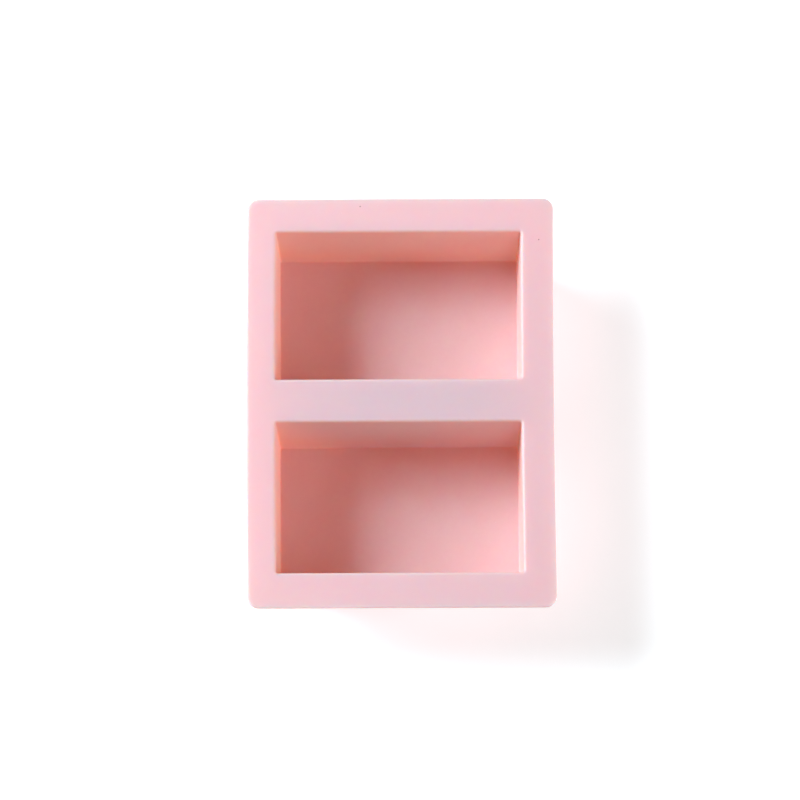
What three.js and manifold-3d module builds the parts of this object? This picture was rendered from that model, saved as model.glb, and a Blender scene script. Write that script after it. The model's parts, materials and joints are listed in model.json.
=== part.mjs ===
// Two-bar soap mould: one piece of moulded silicone, open at the top.
//
// A thin flat rim with rounded corners carries two rectangular cups that hang below it side by side.
// Each cup tapers towards its floor, so that a set bar of soap can be pushed out.
// Millimetres, +Z up. The origin is on the surface that the mould stands on, under its middle.
// X runs along the long side of a bar and Y from one cup to the other.

import * as THREE from 'three';
import { mergeVertices } from 'three/addons/utils/BufferGeometryUtils.js';
import Module from 'manifold-3d';

const wasm = await Module();
wasm.setup();

// ---- Driving dimensions ----

const MOUTH_X = 90; // one cavity at the rim, along the bar
const MOUTH_Y = 56.4; // one cavity at the rim, across the bar
const CAVITY_DEPTH = 35; // from the rim's top face to the cavity floor
const CAVITY_CORNER = 0.8; // radius of the upright corners inside a cavity
const DRAFT = 0.7; // how far each wall leans in between the rim and the floor

const RIB = 16.2; // rim between the two cavities
const SIDE_RIM = 11.2; // rim beside a cavity, at its short ends
const END_RIM = 12.8; // rim beyond a cavity, along its outer long side
const RIM_THICKNESS = 2.5;
const RIM_CORNER = 4.2;

const WALL = 2; // cup wall
const FLOOR = 2; // cup floor
const BASE_EDGE = 1.6; // rounding between a cup's outer wall and its underside

const COLOUR = 0xf0c9d1; // pale pink
const ROUGHNESS = 0.5;

// ---- Worked out from them ----

const RIM_X = MOUTH_X + 2 * SIDE_RIM;
const RIM_Y = 2 * MOUTH_Y + RIB + 2 * END_RIM;
const HEIGHT = CAVITY_DEPTH + FLOOR;
const CUP_Y = (MOUTH_Y + RIB) / 2; // from the middle of the mould to the middle of a cup
const CUTTER_RISE = 1; // how far a cavity's cutting block stands above the rim
const CURVE_STEPS = 4; // straight steps in a quarter turn

// ---- Outlines and blocks ----

/** A rectangle about the origin with four round corners, drawn anticlockwise. */
function roundedRectangle(width, length, radius) {
  const x = width / 2 - radius;
  const y = length / 2 - radius;
  const quarter = Math.PI / 2;
  const shape = new THREE.Shape();
  shape.absarc(x, y, radius, 0, quarter);
  shape.absarc(-x, y, radius, quarter, 2 * quarter);
  shape.absarc(-x, -y, radius, 2 * quarter, 3 * quarter);
  shape.absarc(x, -y, radius, 3 * quarter, 4 * quarter);
  shape.closePath();
  return shape;
}

/**
 * Leans the four sides of a block towards its own middle, by DRAFT over the depth of a cavity.
 * Each quarter of the block moves as one, so a round corner keeps its radius at every height.
 */
function lean(geometry) {
  const place = geometry.getAttribute('position');
  for (let i = 0; i < place.count; i += 1) {
    const inward = (DRAFT * (HEIGHT - place.getZ(i))) / CAVITY_DEPTH;
    place.setX(i, place.getX(i) - Math.sign(place.getX(i)) * inward);
    place.setY(i, place.getY(i) - Math.sign(place.getY(i)) * inward);
  }
  return geometry;
}

/** The flat rim, with no holes yet. */
function rimPlate() {
  const plate = new THREE.ExtrudeGeometry(roundedRectangle(RIM_X, RIM_Y, RIM_CORNER), {
    depth: RIM_THICKNESS,
    bevelEnabled: false,
    curveSegments: CURVE_STEPS,
  });
  return plate.translate(0, 0, HEIGHT - RIM_THICKNESS);
}

/** The outside of one cup: a leaning block with a rounded bottom edge, whose top lies inside the rim. */
function cupBlock() {
  const outline = roundedRectangle(MOUTH_X + 2 * WALL, MOUTH_Y + 2 * WALL, CAVITY_CORNER + WALL);
  const top = HEIGHT - (RIM_THICKNESS - BASE_EDGE) / 2;
  const block = new THREE.ExtrudeGeometry(outline, {
    depth: top - 2 * BASE_EDGE,
    bevelEnabled: true,
    bevelThickness: BASE_EDGE,
    bevelSize: BASE_EDGE,
    bevelOffset: -BASE_EDGE,
    bevelSegments: CURVE_STEPS - 1,
    curveSegments: CURVE_STEPS,
  });
  return lean(block.translate(0, 0, BASE_EDGE));
}

/** The block that is cut out to leave one cavity. */
function cavityCutter() {
  const cutter = new THREE.ExtrudeGeometry(roundedRectangle(MOUTH_X, MOUTH_Y, CAVITY_CORNER), {
    depth: CAVITY_DEPTH + CUTTER_RISE,
    bevelEnabled: false,
    curveSegments: CURVE_STEPS,
  });
  return lean(cutter.translate(0, 0, FLOOR));
}

// ---- Joining and cutting ----

/** A closed geometry as a solid that can be joined and cut. */
function toSolid(geometry) {
  const bare = geometry.clone();
  bare.deleteAttribute('normal');
  bare.deleteAttribute('uv');
  const merged = mergeVertices(bare, 1e-4);
  const mesh = new wasm.Mesh({
    numProp: 3,
    vertProperties: new Float32Array(merged.getAttribute('position').array),
    triVerts: new Uint32Array(merged.getIndex().array),
  });
  return new wasm.Manifold(mesh);
}

/** A solid as a geometry with flat faces. */
function toGeometry(solid) {
  const { vertProperties, triVerts } = solid.getMesh();
  const indexed = new THREE.BufferGeometry();
  indexed.setAttribute('position', new THREE.BufferAttribute(vertProperties, 3));
  indexed.setIndex(new THREE.BufferAttribute(triVerts, 1));
  const flat = indexed.toNonIndexed();
  flat.computeVertexNormals();
  return flat;
}

/** The whole moulding: the rim joined to both cups, with both cavities cut out. */
function mouldBody() {
  let solid = toSolid(rimPlate());
  for (const y of [CUP_Y, -CUP_Y]) {
    solid = solid.add(toSolid(cupBlock().translate(0, y, 0)));
    solid = solid.subtract(toSolid(cavityCutter().translate(0, y, 0)));
  }
  const silicone = new THREE.MeshStandardMaterial({
    color: COLOUR,
    roughness: ROUGHNESS,
    metalness: 0,
  });
  const mesh = new THREE.Mesh(toGeometry(solid), silicone);
  mesh.name = 'mould_body';
  return mesh;
}

const soapMould = new THREE.Group();
soapMould.name = 'soap_mould';
soapMould.add(mouldBody());

export default soapMould;
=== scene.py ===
"""The finished look of a two-bar silicone soap mould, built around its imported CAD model.

The mould is one moulding of pale pink silicone: a thin flat rim with two rectangular cups hanging
below it. The CAD model fixes its sizes. This script replaces the faceted solid by one closed skin
with rounded lips, edges and corners and the slight slackness of a soft moulding, gives it a
translucent silicone, and sets up a white table, soft studio light and a camera above the mould.

Metres, +Z up, in the CAD model's frame: X runs along a bar and Y from one cup to the other.
"""

from __future__ import annotations

import json
import logging
import math
from dataclasses import dataclass, field
from enum import Enum

import bmesh
import bpy
import numpy as np
from mathutils import Matrix, Vector

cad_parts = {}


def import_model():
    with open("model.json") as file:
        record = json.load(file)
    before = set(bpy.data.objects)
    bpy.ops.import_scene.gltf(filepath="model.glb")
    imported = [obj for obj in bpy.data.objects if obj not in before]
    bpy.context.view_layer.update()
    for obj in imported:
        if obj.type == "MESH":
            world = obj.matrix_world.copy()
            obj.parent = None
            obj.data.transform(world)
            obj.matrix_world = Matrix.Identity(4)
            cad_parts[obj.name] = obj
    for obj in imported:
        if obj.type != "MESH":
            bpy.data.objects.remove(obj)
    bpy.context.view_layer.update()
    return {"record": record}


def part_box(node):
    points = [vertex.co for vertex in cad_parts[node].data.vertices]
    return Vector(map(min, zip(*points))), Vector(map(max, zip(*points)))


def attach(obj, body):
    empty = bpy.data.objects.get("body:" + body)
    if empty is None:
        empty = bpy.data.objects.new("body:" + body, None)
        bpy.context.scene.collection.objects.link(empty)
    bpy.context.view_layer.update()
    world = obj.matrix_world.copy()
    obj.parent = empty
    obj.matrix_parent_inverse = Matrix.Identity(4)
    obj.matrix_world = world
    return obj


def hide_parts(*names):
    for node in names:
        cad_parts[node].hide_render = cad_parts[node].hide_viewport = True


MM = 0.001
CAD_NODE = "mould_body"
CAD_CAVITY = "back_cavity"

# Places of the two pin holes on the rim's top face.
PIN_HOLES_MM = ((-14.4, 74.3), (51.5, 61.2))

# Points on each rounding, levels on a wall between its roundings, and the reach for merging doubles.
ARC_POINTS = 8
WALL_LEVELS = 14
MERGE_REACH = 0.002 * MM

# Places of a colour Mix node's two colours among its inputs, and of its result among its outputs.
MIX_FIRST, MIX_SECOND, MIX_RESULT = 6, 7, 2

log = logging.getLogger("soap_mould")


class Cup(Enum):
    """The two cups, by the side of the rib that they are on."""

    BACK = 1
    FRONT = -1


class ToolFinish(Enum):
    """How the steel tool left a part of the silicone, from 0, polished, to 1, matt."""

    POLISHED = 0.0
    SATIN = 0.5
    MATT = 1.0


# ---------------------------------------------------------------- loops and the surfaces between them


@dataclass(frozen=True)
class Loops:
    """A stack of level outlines, each a rectangle with four corners, given as arrays of one length.

    half_x, half_y: half the outline's sides. radius: its corner radius. z: its height.
    middle_y: where its middle lies along Y.
    """

    half_x: np.ndarray
    half_y: np.ndarray
    radius: np.ndarray
    z: np.ndarray
    middle_y: np.ndarray


@dataclass(frozen=True)
class LoopPattern:
    """How many points a loop has, and where they sit, anticlockwise from the corner at +X, -Y.

    A point is core * (half sides - radius) + toward * radius. core is the corner that the point
    belongs to, from -1 to 1 on each axis, and toward is the direction from there, which turns by a
    quarter along each corner and stays the same along each side.
    """

    corner_steps: int = 8
    steps_x: int = 30
    steps_y: int = 20

    def core_and_toward(self) -> tuple[np.ndarray, np.ndarray]:
        """The two factors of the formula above.

        Returns:
            core and toward, each with one row of two numbers per point.
        """
        corners = np.array([(1, -1), (1, 1), (-1, 1), (-1, -1)], float)
        core, angle = [], []
        for turn, corner in enumerate(corners):
            start = (turn - 1) * math.pi / 2
            sweep = np.linspace(0, math.pi / 2, self.corner_steps + 1)
            core.append(np.repeat(corner[None], len(sweep), axis=0))
            angle.append(start + sweep)
            steps = self.steps_y if turn % 2 == 0 else self.steps_x
            along = np.linspace(0, 1, steps + 1)[1:-1, None]
            core.append(corner + along * (corners[(turn + 1) % 4] - corner))
            angle.append(np.full(steps - 1, start + math.pi / 2))
        angle = np.concatenate(angle)
        return np.concatenate(core), np.stack([np.cos(angle), np.sin(angle)], axis=1)

    def outer_part(self) -> slice:
        """The points on the rim's outer edge.

        Returns:
            The slice of a loop from the middle of its first corner to the middle of its last.
        """
        half = self.corner_steps // 2
        last_corner = 3 * (self.corner_steps + 1) + 2 * (self.steps_y - 1) + (self.steps_x - 1)
        return slice(half, last_corner + half + 1)

    def squared(self, toward: np.ndarray) -> np.ndarray:
        """toward with the two corners at -Y made square, by dividing by the larger of its two parts."""
        square = toward / np.abs(toward).max(axis=1, keepdims=True)
        return np.where(toward[:, 1:] < 0, square, toward)

    def points(self, loops: Loops, square: bool = False) -> np.ndarray:
        """The points of a stack of loops.

        Args:
            loops: the stack.
            square: whether the corners at -Y are square.

        Returns:
            An array of loops by points by three coordinates.
        """
        core, toward = self.core_and_toward()
        if square:
            toward = self.squared(toward)
        radius = loops.radius[:, None]
        x = core[:, 0] * (loops.half_x[:, None] - radius) + toward[:, 0] * radius
        y = core[:, 1] * (loops.half_y[:, None] - radius) + toward[:, 1] * radius
        z = np.broadcast_to(loops.z[:, None], x.shape)
        return np.stack([x, y + loops.middle_y[:, None], z], axis=2)


@dataclass(frozen=True)
class Patch:
    """A grid of points on the skin.

    points: rows by columns by three coordinates. closed: whether a row's last point joins its first.
    tool: the tool's finish there. lip_highlight, painted_top_sheen, wall: how much painted highlight
    each row has along the lips, how much painted sheen it has on the rim's top, and how far up a
    cavity's wall it lies, which places painted warm light there, each from 0 to 1.
    """

    points: np.ndarray
    closed: bool
    tool: ToolFinish
    lip_highlight: np.ndarray
    painted_top_sheen: np.ndarray
    wall: np.ndarray

    def faces(self, first: int) -> np.ndarray:
        """The four-sided faces between neighbouring rows and columns.

        Args:
            first: number of the patch's first point.

        Returns:
            Rows of four point numbers.
        """
        rows, columns = self.points.shape[:2]
        number = first + np.arange(rows * columns).reshape(rows, columns)
        if self.closed:
            number = np.concatenate([number, number[:, :1]], axis=1)
        corners = (number[:-1, :-1], number[:-1, 1:], number[1:, 1:], number[1:, :-1])
        return np.stack([corner.ravel() for corner in corners], axis=1)

    def flat(self, cup: Cup) -> np.ndarray:
        """The points as rows of three coordinates, on the given cup's side of the rib."""
        return self.points.reshape(-1, 3) * (1, cup.value, 1)

    def marks(self) -> dict[str, np.ndarray]:
        """What the silicone reads as attributes.

        Returns:
            Named values, one per point.
        """
        columns = self.points.shape[1]
        tool = np.full(len(self.lip_highlight), self.tool.value)
        rows = {"lip_highlight": self.lip_highlight, "painted_top_sheen": self.painted_top_sheen, "wall": self.wall, "tool_finish": tool}
        return {name: np.repeat(values, columns) for name, values in rows.items()}


@dataclass(frozen=True)
class Skin:
    """One side of a cup, inside or outside: floor, lower rounding, leaning wall and upper rounding.

    low, high: heights of the floor and of the level surface that the wall meets at the top.
    offset: how far the wall stands outside the mouth's outline where it meets that level.
    corner: radius of the upright corners. low_round, high_round: the two roundings.
    """

    low: float
    high: float
    offset: float
    corner: float
    low_round: float
    high_round: float

    def profile(self, slope: float) -> tuple[np.ndarray, np.ndarray, np.ndarray]:
        """The section from the edge of the flat floor to the level surface at the top.

        Both roundings are arcs that touch the leaning wall: with a the wall's angle from upright, the
        lower one is centre + r (sin t, -cos t) for t from 0 to 90 - a, and the upper one is
        centre + r (-cos t, sin t) for t from a to 90. Each centre is r / cos a from the wall's line,
        at the height where centre_z reads that line. Corners grow as much as their level does.

        Args:
            slope: the wall's outward lean per unit of height.

        Returns:
            Offset from the mouth's outline, corner radius and height, one value per level.
        """
        lean = math.atan(slope)
        t = np.linspace(0, math.pi / 2 - lean, ARC_POINTS)
        low_z = self.low + self.low_round * (1 - np.cos(t))
        low_grow = self.low_round * (np.sin(t) - 1 / math.cos(lean))
        t = np.linspace(lean, math.pi / 2, ARC_POINTS)
        high_z = self.high - self.high_round * (1 - np.sin(t))
        high_grow = self.high_round * (1 / math.cos(lean) - np.cos(t))
        wall_z = np.linspace(low_z[-1], high_z[0], WALL_LEVELS + 2)[1:-1]
        low_centre = np.full(ARC_POINTS, self.low + self.low_round)
        high_centre = np.full(ARC_POINTS, self.high - self.high_round)
        centre_z = np.concatenate([low_centre, wall_z, high_centre])
        grow = np.concatenate([low_grow, np.zeros(WALL_LEVELS), high_grow])
        x = self.offset - slope * (self.high - centre_z) + grow
        return x, self.corner + grow, np.concatenate([low_z, wall_z, high_z])


# ---------------------------------------------------------------- the moulding


@dataclass(frozen=True)
class Slackness:
    """How far the soft moulding has settled out of its true shape.

    bend: how much further along -X the middle lies than the two ends.
    rim_shift: how much further along +X the rim's free edge lies than the mouths.
    taper: how much wider the back end is than the middle, and the front end narrower, as a share.
    ripple: height of the slow waves along the rim's free edge.
    ripple_reach: how far in from the free edge the waves die out.
    ripple_rates: radians per metre along X and along Y, of the two crossed waves and of the slanted
    one. ripple_starts: where the crossed waves start along X and along Y, in radians.
    """

    bend: float = 0.45 * MM
    rim_shift: float = 0.75 * MM
    taper: float = 0.0065
    ripple: float = 0.1 * MM
    ripple_reach: float = 10.0 * MM
    ripple_rates: tuple[tuple[float, float], tuple[float, float]] = ((53, 41), (97, 71))
    ripple_starts: tuple[float, float] = (-0.4, 1.3)

    def wave(self, x: np.ndarray, y: np.ndarray) -> np.ndarray:
        """The slow waves: cos along X times sin along Y, plus half of sin along the slant."""
        (cross_x, cross_y), (slant_x, slant_y) = self.ripple_rates
        start_x, start_y = self.ripple_starts
        crossed = np.sin(cross_y * y + start_y) * np.cos(cross_x * x + start_x)
        return crossed + np.sin(slant_x * x + slant_y * y) / 2

    def settle(self, points: np.ndarray, half: Vector, top: float) -> np.ndarray:
        """Moves the points of the true shape to where they lie.

        With v the place from -1 to 1 along Y, X is stretched by 1 + taper v and moved by
        bend (v squared - 2/3), which keeps the mean in place. The rim's shift, half of it taken by the
        cups the other way, and the waves fade in by s squared (3 - 2 s), where s goes from 0 to 1 over
        the last part before the free edge. Bend and waves fade out towards the underside.

        Args:
            points: rows of three coordinates.
            half: half the moulding's size along X and Y.
            top: height of the rim's top face.

        Returns:
            The moved points.
        """
        x, y, z = points.T
        v = y / half.y
        high = np.clip(z / top, 0, 1)
        inset = np.minimum(half.x - np.abs(x), half.y - np.abs(y))
        s = np.clip(1 - inset / self.ripple_reach, 0, 1)
        edge = high * s * s * (3 - 2 * s)
        stretch = self.taper * v * x
        shift = stretch + self.bend * (v**2 - 2 / 3) * high + self.rim_shift * (edge - 1 / 2)
        return np.stack([x + shift, y, z - self.ripple * edge * (1 + self.wave(x, y))], axis=1)


@dataclass
class Moulding:
    """The one piece of silicone. Sizes that the CAD model's boxes don't give are the same as in it.

    cad_low, cad_high, cavity_low, cavity_high: corners of the CAD model and of the back cavity's
    free space. box_clearance, floor_clearance: what that space leaves free beside and below it.
    lean: how far a wall leans out over the cavity's depth. lip_reach: how wide the painted highlight
    along the lips is, and how far out onto the rim's top the painted sheen takes to grow to full.
    floor_loops, top_loops: loops on a floor and on the rim's flat face. floor_inset: how far inside
    the floor's edge its last loop lies. edge_share, even_share: where on the rim's flat face its
    first loop and the first of its evenly spaced ones lie. wall_share: how far up a cavity's wall
    the wall mark, which carries the painted warm light on the walls, is full.
    """

    cad_low: Vector
    cad_high: Vector
    cavity_low: Vector
    cavity_high: Vector
    box_clearance: float = 0.3 * MM
    floor_clearance: float = 0.2 * MM
    lean: float = 0.7 * MM
    wall: float = 2.0 * MM
    rim_thickness: float = 2.5 * MM
    rim_corner: float = 4.2 * MM
    cavity_corner: float = 0.8 * MM
    lip_round: float = 1.0 * MM
    floor_round: float = 0.4 * MM
    base_round: float = 1.6 * MM
    root_round: float = 1.2 * MM
    edge_round: float = 0.35 * MM
    lip_reach: float = 0.8 * MM
    floor_inset: float = 0.5 * MM
    floor_loops: int = 9
    top_loops: int = 9
    edge_share: float = 0.04
    even_share: float = 0.15
    wall_share: float = 0.2
    slackness: Slackness = Slackness()
    pattern: LoopPattern = LoopPattern()
    top: float = field(init=False)
    under: float = field(init=False)
    floor: float = field(init=False)
    slope: float = field(init=False)
    mouth_x: float = field(init=False)
    mouth_y: float = field(init=False)
    cup_y: float = field(init=False)
    half: Vector = field(init=False)

    def __post_init__(self) -> None:
        """Works out the sizes that the driving ones give."""
        self.top = self.cad_high.z
        self.under = self.top - self.rim_thickness
        self.floor = self.cavity_low.z - self.floor_clearance
        self.slope = self.lean / (self.top - self.floor)
        size = self.cavity_high - self.cavity_low
        self.mouth_x = size.x / 2 + self.box_clearance + self.lean
        self.mouth_y = size.y / 2 + self.box_clearance + self.lean
        self.cup_y = abs(self.cavity_high.y + self.cavity_low.y) / 2
        self.half = Vector((self.cad_high - self.cad_low) / 2)

    def inside(self) -> Skin:
        """The cavity: from its floor to the rim's top face."""
        return Skin(self.floor, self.top, 0.0, self.cavity_corner, self.floor_round, self.lip_round)

    def outside(self) -> Skin:
        """The cup's outside: from its underside to the rim's underside."""
        offset = self.wall - self.slope * self.rim_thickness
        corner = self.cavity_corner + self.wall
        return Skin(self.cad_low.z, self.under, offset, corner, self.base_round, self.root_round)

    def skin_loops(self, skin: Skin) -> Loops:
        """The loops of one side of a cup, from the line in the middle of its floor to the rim.

        The floor's loops shrink by equal steps until their short sides have closed up, which leaves
        a line along X and no pole.

        Args:
            skin: the side.

        Returns:
            The stack of loops, from the bottom up.
        """
        offset, radius, z = skin.profile(self.slope)
        share = np.linspace(0, 1, self.floor_loops, endpoint=False)
        share = np.append(share, 1 - self.floor_inset / self.mouth_y)
        closed = -self.mouth_y
        floor_offset = closed + share * (offset[0] - closed)
        offset = np.concatenate([floor_offset, offset])
        radius = np.concatenate([share * radius[0], radius])
        z = np.concatenate([np.full(len(share), z[0]), z])
        middle = np.full(len(z), self.cup_y)
        return Loops(self.mouth_x + offset, self.mouth_y + offset, radius, z, middle)

    def rim_boundary(self, z: float) -> Loops:
        """Half of the rim's flat face, from the line Y = 0 outwards.

        Args:
            z: the face's height.

        Returns:
            A stack of one loop.
        """
        half_y = (self.half.y - self.edge_round) / 2
        values = (self.half.x - self.edge_round, half_y, self.rim_corner - self.edge_round, z, half_y)
        return Loops(*(np.array([value]) for value in values))

    def flat_shares(self) -> np.ndarray:
        """Where the flat part's loops lie: one close to each end, and even ones between.

        Returns:
            Shares that rise from just past 0, at the skin's last loop, to 1, at the rim's edge.
        """
        even = np.linspace(self.even_share, 1 - self.even_share, self.top_loops - 3)
        return np.concatenate([[self.edge_share], even, [1 - self.edge_share, 1.0]])

    def half_skin(self, skin: Skin, tool: ToolFinish) -> Patch:
        """One side of the back half of the moulding, from the cup's floor out to the rim's edge.

        The rim's flat part is (1 - s) times the skin's last loop plus s times the rim's boundary. A row
        has the painted lip highlight by exp of minus (distance over reach) squared, where the distance
        is taken in the section from the corner that wall and rim would make without a rounding. On the
        inside, the painted sheen on the rim's top grows from 0 on that corner to 1 one reach out on the
        rim's top face, and the wall value, which places painted warm light on the walls, from 0 at the
        floor to 1 at the wall share. The outside has neither.

        Args:
            skin: the side's floor and wall.
            tool: the tool's finish on it, polished inside and matt outside.

        Returns:
            The patch.
        """
        loops = self.skin_loops(skin)
        cup = self.pattern.points(loops)
        boundary = self.pattern.points(self.rim_boundary(skin.high), square=True)
        share = self.flat_shares()
        flat = cup[-1] + share[:, None, None] * (boundary[0] - cup[-1])
        rim = loops.half_x[-1] + share * (self.half.x - loops.half_x[-1])
        across = np.concatenate([loops.half_x, rim]) - self.mouth_x
        down = self.top - np.concatenate([loops.z, np.full(len(share), skin.high)])
        # painted highlight along the lips, strongest at the corner of wall and rim
        lip_highlight = np.exp(-(across**2 + down**2) / self.lip_reach**2)
        inside = tool is ToolFinish.POLISHED
        # painted sheen on the rim's top, growing outwards from the lips, inside patches only
        painted_top_sheen = np.clip(across / self.lip_reach, 0, 1) * inside
        # painted warm light on the cavities' walls: the wall mark, rising from the floor up
        full = self.wall_share * (skin.high - skin.low)
        wall = np.clip((loops.z - skin.low) / full, 0, 1) * inside
        wall = np.concatenate([wall, np.zeros(len(share))])
        return Patch(np.concatenate([cup, flat]), True, tool, lip_highlight, painted_top_sheen, wall)

    def edge_band(self) -> Patch:
        """The rim's free edge: a section carried round the outer part of the half rim.

        The section leaves the top face on a quarter circle, drops straight and turns in on another one.

        Returns:
            The patch.
        """
        part = self.pattern.outer_part()
        inner = self.pattern.points(self.rim_boundary(0.0), square=True)[0, part]
        toward = self.pattern.core_and_toward()[1][part]
        toward = np.where(toward[:, 1:] < 0, np.sign(toward) * (1, 0), toward)
        t = np.linspace(0, math.pi / 2, ARC_POINTS)
        out = self.edge_round * np.concatenate([np.sin(t), np.cos(t)])
        down = self.edge_round * (1 - np.cos(t))
        z = np.concatenate([self.top - down, (self.under + down)[::-1]])
        band = np.empty((len(z), len(inner), 3))
        band[:, :, :2] = inner[:, :2] + out[:, None, None] * toward
        band[:, :, 2] = z[:, None]
        # painted sheen, growing towards the top of the rim's edge
        painted_top_sheen = np.clip((z - self.under) / self.rim_thickness, 0, 1)
        none = np.zeros(len(z))
        return Patch(band, False, ToolFinish.SATIN, none, painted_top_sheen, none)

    def build(self) -> bpy.types.Object:
        """Makes the whole skin: the back half, the front half as its mirror image, joined into one.

        Returns:
            The mould, without a material.
        """
        patches = [
            self.half_skin(self.inside(), ToolFinish.POLISHED),
            self.half_skin(self.outside(), ToolFinish.MATT),
            self.edge_band(),
        ]
        points, faces, marks = [], [], []
        count = 0
        for cup in Cup:
            for patch in patches:
                points.append(patch.flat(cup))
                faces.append(patch.faces(count))
                marks.append(patch.marks())
                count += len(points[-1])
        settled = self.slackness.settle(np.concatenate(points), self.half, self.top)
        joined = {name: np.concatenate([mark[name] for mark in marks]) for name in marks[0]}
        return closed_piece("silicone_mould", settled, np.concatenate(faces), joined)

    def dress(self, piece: bpy.types.Object, finish: SiliconeFinish) -> None:
        """Gives the skin its silicone and joins it to the CAD model.

        Args:
            piece: the skin.
            finish: the silicone.
        """
        piece.data.materials.append(finish.make())
        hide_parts(CAD_NODE)
        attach(piece, "root")


def closed_piece(
    name: str, points: np.ndarray, faces: np.ndarray, marks: dict[str, np.ndarray]
) -> bpy.types.Object:
    """A smooth closed object from grids that meet edge to edge.

    Args:
        name: the object's name.
        points: rows of three coordinates, where meeting grids repeat each other's edge points.
        faces: rows of four point numbers.
        marks: named values, one per point, which materials read as attributes.

    Returns:
        The object, with doubles merged and every face pointing outwards.
    """
    mesh = bpy.data.meshes.new(name)
    mesh.from_pydata(points.tolist(), [], faces.tolist())
    for mark, values in marks.items():
        mesh.attributes.new(mark, "FLOAT", "POINT").data.foreach_set("value", values)
    shape = bmesh.new()
    shape.from_mesh(mesh)
    bmesh.ops.remove_doubles(shape, verts=shape.verts, dist=MERGE_REACH)
    bmesh.ops.recalc_face_normals(shape, faces=shape.faces)
    shape.to_mesh(mesh)
    shape.free()
    mesh.polygons.foreach_set("use_smooth", np.ones(len(mesh.polygons), bool))
    mesh.update()
    piece = bpy.data.objects.new(name, mesh)
    bpy.context.scene.collection.objects.link(piece)
    return piece


# ---------------------------------------------------------------- finishes


Socket = bpy.types.NodeSocket
Colour = tuple[float, float, float]
Value = Socket | float | tuple[float, ...]


class Wiring:
    """Adds nodes to one node tree and joins them up."""

    def __init__(self, tree: bpy.types.NodeTree) -> None:
        """Takes the tree to work in."""
        self.tree = tree

    def link(self, source: Socket, target: Socket) -> None:
        """Joins an output to an input."""
        self.tree.links.new(source, target)

    def add(self, kind: str, inputs: dict[str | int, Value], **settings: object) -> bpy.types.Node:
        """Adds a node.

        Args:
            kind: the node's type.
            inputs: what goes into its sockets, each a socket to link or a value to set.
            settings: the node's own properties.

        Returns:
            The new node.
        """
        node = self.tree.nodes.new(kind)
        for name, setting in settings.items():
            setattr(node, name, setting)
        for name, value in inputs.items():
            if isinstance(value, Socket):
                self.link(value, node.inputs[name])
            else:
                node.inputs[name].default_value = value
        return node

    def place(self, group: bpy.types.NodeTree, inputs: dict[str, Value]) -> bpy.types.Node:
        """Puts a node group into the tree."""
        return self.add("ShaderNodeGroup", inputs, node_tree=group)

    def mark(self, name: str) -> Socket:
        """One of the values that the mesh holds for each of its points."""
        return self.add("ShaderNodeAttribute", {}, attribute_name=name).outputs["Fac"]

    def math(self, operation: str, a: Value, b: Value) -> Socket:
        """The result of a sum on two values."""
        return self.add("ShaderNodeMath", {0: a, 1: b}, operation=operation).outputs[0]

    def spread(self, value: Socket, low: float, high: float, to: tuple[float, float]) -> Socket:
        """A value between low and high turned smoothly into one between the two of to."""
        ends = {"From Min": low, "From Max": high, "To Min": to[0], "To Max": to[1]}
        inputs = {"Value": value, **ends}
        return self.add("ShaderNodeMapRange", inputs, interpolation_type="SMOOTHSTEP").outputs[0]

    def blend(self, share: Socket, a: Socket | Colour, b: Socket | Colour) -> Socket:
        """The colour a where share is 0 and b where it is 1."""
        first, second = (value if isinstance(value, Socket) else (*value, 1) for value in (a, b))
        inputs = {"Factor": share, MIX_FIRST: first, MIX_SECOND: second}
        return self.add("ShaderNodeMix", inputs, data_type="RGBA").outputs[MIX_RESULT]

    def bump(self, height: Socket, depth: float, under: Socket | None = None) -> Socket:
        """A normal from a height between 0 and 1.

        Args:
            height: the height.
            depth: how many metres a height of 1 stands for.
            under: the normal that this one lies on, if any.

        Returns:
            The normal.
        """
        inputs = {"Height": height, "Distance": depth}
        if under is not None:
            inputs["Normal"] = under
        return self.add("ShaderNodeBump", inputs).outputs[0]


@dataclass(frozen=True)
class EmptyGroup:
    """A new node group to be filled: the group, its wiring, and the nodes for its inputs and outputs."""

    group: bpy.types.NodeTree
    wiring: Wiring
    given: bpy.types.NodeOutputs
    result: bpy.types.NodeInputs


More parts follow.
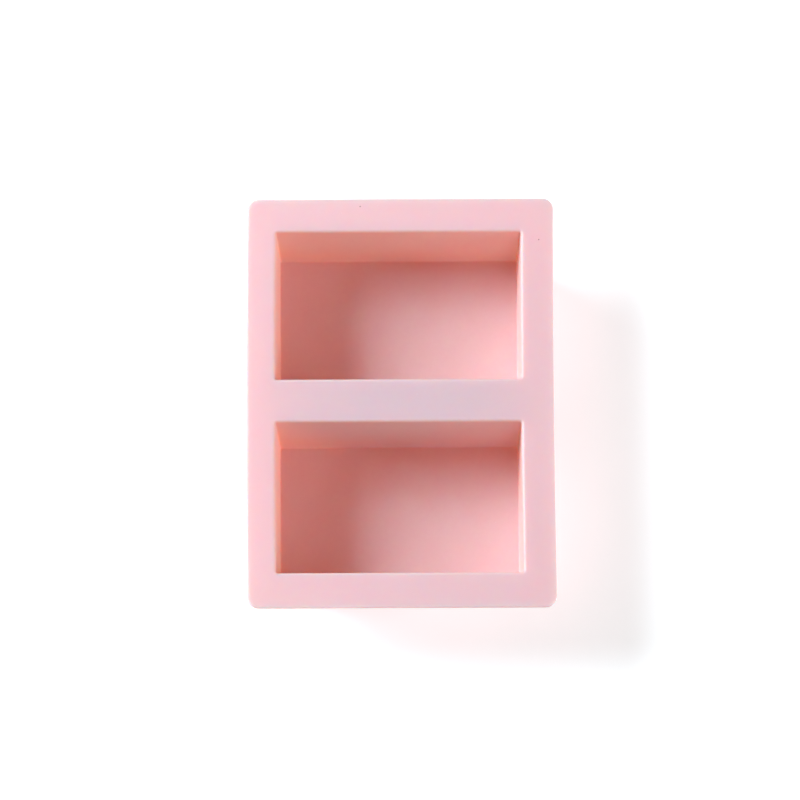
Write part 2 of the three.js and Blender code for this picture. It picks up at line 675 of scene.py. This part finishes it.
class Effects:
    """The node groups that the materials share, each built once.

    NOISE_RANGE: what most of a noise lies between. SPECK_CORE, HOLE_CORE: the share of its radius
    within which a speck or a hole is full.
    """

    NOISE_RANGE = (0.3, 0.7)
    SPECK_CORE = 0.6
    HOLE_CORE = 0.3

    def __init__(self) -> None:
        """Builds the groups."""
        self.grain = self.make_grain()
        self.dust = self.make_dust()
        self.pin_hole = self.make_pin_hole()

    @staticmethod
    def new_group(name: str, places: list[str], sizes: list[str], outputs: list[str]) -> EmptyGroup:
        """Makes a group with its sockets.

        Args:
            name: the group's name.
            places: names of its inputs that are places.
            sizes: names of its inputs that are sizes.
            outputs: names of its outputs, which are numbers.

        Returns:
            The group, ready to be filled.
        """
        group = bpy.data.node_groups.new(name, "ShaderNodeTree")
        sockets = [(place, "INPUT", "NodeSocketVector") for place in places]
        sockets += [(size, "INPUT", "NodeSocketFloat") for size in sizes]
        sockets += [(output, "OUTPUT", "NodeSocketFloat") for output in outputs]
        for socket, direction, kind in sockets:
            group.interface.new_socket(name=socket, in_out=direction, socket_type=kind)
        wiring = Wiring(group)
        given = wiring.add("NodeGroupInput", {}).outputs
        return EmptyGroup(group, wiring, given, wiring.add("NodeGroupOutput", {}).inputs)

    def make_grain(self) -> bpy.types.NodeTree:
        """Soft uneven grain of a given size, as a height, and slow clouds of another, as a tone.

        Both are noise of the place divided by the size, spread to fill 0 to 1.

        Returns:
            The group.
        """
        new = self.new_group("grain", ["Vector"], ["Grain Size", "Cloud Size"], ["Height", "Tone"])
        for size, output, detail in (("Grain Size", "Height", 3.0), ("Cloud Size", "Tone", 2.0)):
            scale = new.wiring.math("DIVIDE", 1.0, new.given[size])
            noise_in = {"Vector": new.given["Vector"], "Scale": scale, "Detail": detail}
            noise = new.wiring.add("ShaderNodeTexNoise", noise_in).outputs[0]
            new.wiring.link(new.wiring.spread(noise, *self.NOISE_RANGE, (0.0, 1.0)), new.result[output])
        return new.group

    def make_dust(self) -> bpy.types.NodeTree:
        """Small scattered specks.

        The mask is 1 in the core of each speck, and 0 from the speck size outwards. The specks are
        one to a cell of the given spacing, and few of them are close enough to the surface to show.

        Returns:
            The group.
        """
        new = self.new_group("dust", ["Vector"], ["Spacing", "Speck Size"], ["Mask"])
        scale = new.wiring.math("DIVIDE", 1.0, new.given["Spacing"])
        cells_in = {"Vector": new.given["Vector"], "Scale": scale}
        cells = new.wiring.add("ShaderNodeTexVoronoi", cells_in)
        reach = new.wiring.math("MULTIPLY", new.given["Speck Size"], scale)
        share = new.wiring.math("DIVIDE", cells.outputs["Distance"], reach)
        mask = new.wiring.spread(share, self.SPECK_CORE, 1.0, (1.0, 0.0))
        new.wiring.link(mask, new.result["Mask"])
        return new.group

    def make_pin_hole(self) -> bpy.types.NodeTree:
        """One tiny hole left by an air bubble: 1 in the core of its place, 0 from its radius outwards.

        Returns:
            The group.
        """
        new = self.new_group("pin_hole", ["Vector", "Place"], ["Radius"], ["Mask"])
        ends = {0: new.given["Vector"], 1: new.given["Place"]}
        away = new.wiring.add("ShaderNodeVectorMath", ends, operation="DISTANCE")
        share = new.wiring.math("DIVIDE", away.outputs["Value"], new.given["Radius"])
        mask = new.wiring.spread(share, self.HOLE_CORE, 1.0, (1.0, 0.0))
        new.wiring.link(mask, new.result["Mask"])
        return new.group


def new_material(name: str) -> tuple[bpy.types.Material, Wiring, bpy.types.Node]:
    """A material with only a Principled BSDF and its output.

    Args:
        name: the material's name.

    Returns:
        The material, its wiring and the Principled BSDF.
    """
    material = bpy.data.materials.new(name)
    material.use_nodes = True
    wiring = Wiring(material.node_tree)
    return material, wiring, material.node_tree.nodes["Principled BSDF"]


@dataclass(frozen=True)
class Shade:
    """A colour, and how much of it shows where its mask is full."""

    colour: Colour
    share: float


@dataclass(frozen=True)
class SiliconeFinish:
    """Pale pink silicone: satin, and translucent enough for light to come through a cup's wall.

    The pigment clouds slowly between two close pinks. Light and shade are also painted into the
    colour: a cooler, paler painted sheen on the rim's top, painted warm light on the cavities' walls,
    deeper painted shade on the outside, a paler painted highlight along the lips and painted shade in
    the pin holes. The tool's finish makes the cavities a little smoother than the outside, and there
    are specks of dust and pin holes.

    cloud_share: the slow clouds' part in the tone, of which the mottle has the rest. scatter, depth:
    how far red, green and blue travel inside, as shares of a length. roughness, grain_share: on a
    polished and on a matt surface. unevenness, dust_roughness: what clouds and dust add to the
    roughness. wave_depth, grain_depth, speck_depth: heights of the surface's relief.
    """

    effects: Effects
    pin_holes: tuple[tuple[float, float, float], ...]
    pink: Colour = (0.955, 0.575, 0.588)
    deep_pink: Colour = (0.935, 0.545, 0.557)
    # painted shade: a deeper pink on the cups' outside and under the rim, holding back the strong light
    # there
    outer: Shade = Shade((0.87, 0.49, 0.515), 0.85)
    # painted light: a warmer, redder pink up the cavities' walls, standing in for light coming through
    # the silicone and bouncing between the walls
    wall: Shade = Shade((0.995, 0.55, 0.515), 0.9)
    # painted sheen: a cooler, paler pink on the rim's top face and the upper part of its edge
    painted_top_sheen: Shade = Shade((0.90, 0.582, 0.63), 0.85)
    # painted highlight: a paler pink along the rounded lips of the mouths
    lip_highlight: Shade = Shade((0.97, 0.72, 0.72), 0.15)
    dust: Shade = Shade((0.95, 0.92, 0.90), 0.7)
    # painted shade: a dark colour in each pin hole, where shade falls in the pit
    hole: Shade = Shade((0.42, 0.22, 0.22), 1.0)
    cloud_share: float = 0.7
    scatter: Colour = (0.62, 0.34, 0.22)
    depth: float = 12.0 * MM
    ior: float = 1.41
    roughness: tuple[float, float] = (0.45, 0.58)
    grain_share: tuple[float, float] = (0.45, 1.0)
    unevenness: float = 0.03
    dust_roughness: float = 0.3
    grain_size: float = 0.35 * MM
    cloud_size: float = 16.0 * MM
    mottle_size: float = 1.6 * MM
    wave_size: float = 7.0 * MM
    dust_spacing: float = 7.0 * MM
    speck_size: float = 0.14 * MM
    hole_radius: float = 0.35 * MM
    wave_depth: float = 0.02 * MM
    grain_depth: float = 0.012 * MM
    speck_depth: float = 0.1 * MM

    def make(self) -> bpy.types.Material:
        """Builds the material.

        Returns:
            The material.
        """
        material, wiring, surface = new_material("silicone_pink")
        where = wiring.add("ShaderNodeTexCoord", {}).outputs["Object"]
        grain, clouds = self.pattern(wiring, where, self.grain_size, self.cloud_size)
        mottle, waves = self.pattern(wiring, where, self.mottle_size, self.wave_size)
        dust_in = {"Vector": where, "Spacing": self.dust_spacing, "Speck Size": self.speck_size}
        specks = wiring.place(self.effects.dust, dust_in).outputs["Mask"]
        holes = self.holes(wiring, where)
        tool = wiring.mark("tool_finish")

        cloudy = wiring.math("MULTIPLY", clouds, self.cloud_share)
        tone = wiring.math("ADD", cloudy, wiring.math("MULTIPLY", mottle, 1 - self.cloud_share))
        colour = wiring.blend(tone, self.deep_pink, self.pink)
        masks = (
            # painted shade on the outside
            (wiring.spread(tool, ToolFinish.SATIN.value, ToolFinish.MATT.value, (0.0, 1.0)), self.outer),
            # painted warm light on the cavities' walls
            (wiring.mark("wall"), self.wall),
            # painted sheen on the rim's top
            (wiring.mark("painted_top_sheen"), self.painted_top_sheen),
            # painted highlight along the lips
            (wiring.mark("lip_highlight"), self.lip_highlight),
            (specks, self.dust),
            # painted shade in the pin holes
            (holes, self.hole),
        )
        for mask, shade in masks:
            colour = wiring.blend(wiring.math("MULTIPLY", mask, shade.share), colour, shade.colour)
        wiring.link(colour, surface.inputs["Base Color"])

        uneven = wiring.spread(waves, 0.0, 1.0, (-self.unevenness, self.unevenness))
        rough = wiring.math("ADD", self.by_tool(wiring, tool, self.roughness), uneven)
        rough = wiring.math("ADD", rough, wiring.math("MULTIPLY", specks, self.dust_roughness))
        wiring.link(rough, surface.inputs["Roughness"])

        grain = wiring.math("MULTIPLY", grain, self.by_tool(wiring, tool, self.grain_share))
        normal = wiring.bump(waves, self.wave_depth)
        normal = wiring.bump(grain, self.grain_depth, normal)
        normal = wiring.bump(wiring.math("SUBTRACT", specks, holes), self.speck_depth, normal)
        wiring.link(normal, surface.inputs["Normal"])

        surface.inputs["IOR"].default_value = self.ior
        surface.inputs["Subsurface Weight"].default_value = 1.0
        surface.inputs["Subsurface Radius"].default_value = self.scatter
        surface.inputs["Subsurface Scale"].default_value = self.depth
        return material

    def pattern(self, wiring: Wiring, where: Socket, fine: float, slow: float) -> tuple[Socket, Socket]:
        """The grain of one size and the clouds of another."""
        inputs = {"Vector": where, "Grain Size": fine, "Cloud Size": slow}
        outputs = wiring.place(self.effects.grain, inputs).outputs
        return outputs["Height"], outputs["Tone"]

    def by_tool(self, wiring: Wiring, tool: Socket, ends: tuple[float, float]) -> Socket:
        """A value that goes from the first of ends, where polished, to the second, where matt."""
        return wiring.spread(tool, ToolFinish.POLISHED.value, ToolFinish.MATT.value, ends)

    def holes(self, wiring: Wiring, where: Socket) -> Socket:
        """The pin holes, joined into one mask.

        Args:
            wiring: the material's wiring.
            where: the place on the mould.

        Returns:
            A mask that is 1 in every pin hole.
        """
        mask = None
        for place in self.pin_holes:
            inputs = {"Vector": where, "Place": place, "Radius": self.hole_radius}
            hole = wiring.place(self.effects.pin_hole, inputs).outputs["Mask"]
            mask = hole if mask is None else wiring.math("MAXIMUM", mask, hole)
        return mask


@dataclass(frozen=True)
class TableFinish:
    """A matt white board that glows a little, as an overexposed white ground does.

    seen_glow: the glow that the camera sees. glow: the glow that lights the mould. Seen from below
    the table is clear, so that the mould's underside shows.
    """

    effects: Effects
    white: Colour = (0.92, 0.92, 0.92)
    off_white: Colour = (0.90, 0.90, 0.90)
    glow: float = 0.25
    seen_glow: float = 0.5
    roughness: tuple[float, float] = (0.85, 0.95)
    grain_size: float = 0.6 * MM
    cloud_size: float = 60.0 * MM
    grain_depth: float = 0.01 * MM

    def make(self) -> bpy.types.Material:
        """Builds the material: a surface for the light, a brighter one for the camera, none below.

        Returns:
            The material.
        """
        material, wiring, surface = new_material("white_table")
        seen = wiring.add("ShaderNodeBsdfPrincipled", {})
        where = wiring.add("ShaderNodeTexCoord", {}).outputs["Object"]
        sizes = {"Grain Size": self.grain_size, "Cloud Size": self.cloud_size}
        board = wiring.place(self.effects.grain, {"Vector": where, **sizes}).outputs
        colour = wiring.blend(board["Tone"], self.off_white, self.white)
        rough = wiring.spread(board["Tone"], 0.0, 1.0, self.roughness)
        normal = wiring.bump(board["Height"], self.grain_depth)
        for shader, glow in ((surface, self.glow), (seen, self.seen_glow)):
            wiring.link(colour, shader.inputs["Base Color"])
            wiring.link(rough, shader.inputs["Roughness"])
            wiring.link(normal, shader.inputs["Normal"])
            shader.inputs["Emission Color"].default_value = (1, 1, 1, 1)
            shader.inputs["Emission Strength"].default_value = glow
        camera = wiring.add("ShaderNodeLightPath", {}).outputs["Is Camera Ray"]
        above_in = {0: camera, 1: surface.outputs[0], 2: seen.outputs[0]}
        above = wiring.add("ShaderNodeMixShader", above_in)
        below = wiring.add("ShaderNodeNewGeometry", {}).outputs["Backfacing"]
        clear = wiring.add("ShaderNodeBsdfTransparent", {})
        sides_in = {0: below, 1: above.outputs[0], 2: clear.outputs[0]}
        sides = wiring.add("ShaderNodeMixShader", sides_in)
        wiring.link(sides.outputs[0], wiring.tree.nodes["Material Output"].inputs["Surface"])
        return material


# ---------------------------------------------------------------- studio


@dataclass(frozen=True)
class Softbox:
    """A square area light that points at the mould.

    azimuth: degrees anticlockwise from +X. elevation: degrees above the table. power: in watts.
    """

    name: str
    azimuth: float
    elevation: float
    power: float
    side: float = 0.95
    distance: float = 1.8
    colour: Colour = (1, 1, 1)

    def place(self, target: Vector) -> None:
        """Hangs the light in its direction from the target, and turns it to face the target.

        Args:
            target: the point that it faces.
        """
        light = bpy.data.lights.new(self.name, "AREA")
        light.shape, light.size = "SQUARE", self.side
        light.energy, light.color = self.power, self.colour
        lamp = bpy.data.objects.new(self.name, light)
        turn, rise = math.radians(self.azimuth), math.radians(self.elevation)
        level = math.cos(rise)
        back = Vector((level * math.cos(turn), level * math.sin(turn), math.sin(rise)))
        lamp.location = target + back * self.distance
        lamp.rotation_euler = back.to_track_quat("Z", "Y").to_euler()
        bpy.context.scene.collection.objects.link(lamp)


@dataclass(frozen=True)
class Studio:
    """A white table, a large softbox at the upper left, two weak low ones, an even sky and a camera.

    sky, seen_sky: strength of the sky that lights the mould, and of the one that the camera sees.
    table_gap: how far under the mould the table lies. camera_tilt, camera_roll: in degrees, towards
    the front and round the view. lens, sensor: in millimetres. clip: nearest and furthest seen.
    """

    table: TableFinish
    key: Softbox = Softbox("key_softbox", 156.5, 34.8, 48.5, side=0.92, colour=(0.762, 0.925, 1.0))
    fill: Softbox = Softbox("fill_softbox", 350, 18, 20.5, side=1.0)
    front: Softbox = Softbox("front_softbox", 270, 24, 3.5)
    sky: float = 0.085
    seen_sky: float = 1.0
    table_side: float = 4.0
    table_gap: float = 0.15 * MM
    camera_distance: float = 1.5
    camera_tilt: float = 15.4
    camera_roll: float = -0.28
    lens: float = 184.9
    sensor: float = 36.0
    clip: tuple[float, float] = (0.05, 50.0)

    def set_table(self) -> None:
        """Lays the table, a level square a hair under the mould."""
        half, z = self.table_side / 2, -self.table_gap
        corners = [(-half, -half, z), (half, -half, z), (half, half, z), (-half, half, z)]
        mesh = bpy.data.meshes.new("table")
        mesh.from_pydata(corners, [], [(0, 1, 2, 3)])
        mesh.materials.append(self.table.make())
        table = bpy.data.objects.new("table", mesh)
        bpy.context.scene.collection.objects.link(table)

    def set_sky(self) -> None:
        """Gives even light from all round, and a white ground for the camera past the table's end."""
        world = bpy.data.worlds.new("studio")
        world.use_nodes = True
        wiring = Wiring(world.node_tree)
        sky = world.node_tree.nodes["Background"]
        seen = wiring.add("ShaderNodeBackground", {})
        for background, strength in ((sky, self.sky), (seen, self.seen_sky)):
            background.inputs["Color"].default_value = (1, 1, 1, 1)
            background.inputs["Strength"].default_value = strength
        camera = wiring.add("ShaderNodeLightPath", {}).outputs["Is Camera Ray"]
        both = wiring.add("ShaderNodeMixShader", {0: camera, 1: sky.outputs[0], 2: seen.outputs[0]})
        wiring.link(both.outputs[0], world.node_tree.nodes["World Output"].inputs["Surface"])
        bpy.context.scene.world = world

    def set_camera(self, target: Vector) -> None:
        """Sets the camera, tilted from straight down towards the front edge of the mould.

        Args:
            target: the point that it looks at.
        """
        data = bpy.data.cameras.new("camera")
        data.lens, data.sensor_width = self.lens, self.sensor
        data.clip_start, data.clip_end = self.clip
        camera = bpy.data.objects.new("camera", data)
        tilt = Matrix.Rotation(math.radians(self.camera_tilt), 4, "X")
        roll = Matrix.Rotation(math.radians(self.camera_roll), 4, "Z")
        back = Matrix.Translation((0, 0, self.camera_distance))
        camera.matrix_world = Matrix.Translation(target) @ tilt @ roll @ back
        bpy.context.scene.collection.objects.link(camera)
        bpy.context.scene.camera = camera

    def set_up(self, target: Vector) -> None:
        """Sets everything around one point.

        Args:
            target: the point, in the middle of the rim's top face.
        """
        self.set_camera(target)
        self.set_table()
        self.set_sky()
        for softbox in (self.key, self.fill, self.front):
            softbox.place(target)
        bpy.context.scene.view_settings.view_transform = "Standard"


def main() -> None:
    """Loads the CAD model, sets up the studio and makes the mould."""
    logging.basicConfig(level=logging.INFO, format="%(name)s: %(message)s")
    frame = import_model()
    low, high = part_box(CAD_NODE)
    openings = {hole["name"]: hole["box_m"] for hole in frame["record"]["physics"]["openings"]}
    cavity_low, cavity_high = (Vector(corner) for corner in openings[CAD_CAVITY])

    effects = Effects()
    Studio(TableFinish(effects)).set_up(Vector((0, 0, high.z)))
    moulding = Moulding(low, high, cavity_low, cavity_high)
    pin_holes = tuple((x * MM, y * MM, high.z) for x, y in PIN_HOLES_MM)
    mould = moulding.build()
    moulding.dress(mould, SiliconeFinish(effects, pin_holes))
    log.info("%s: %d points, %d faces", mould.name, len(mould.data.vertices), len(mould.data.polygons))


if __name__ == "__main__":
    main()
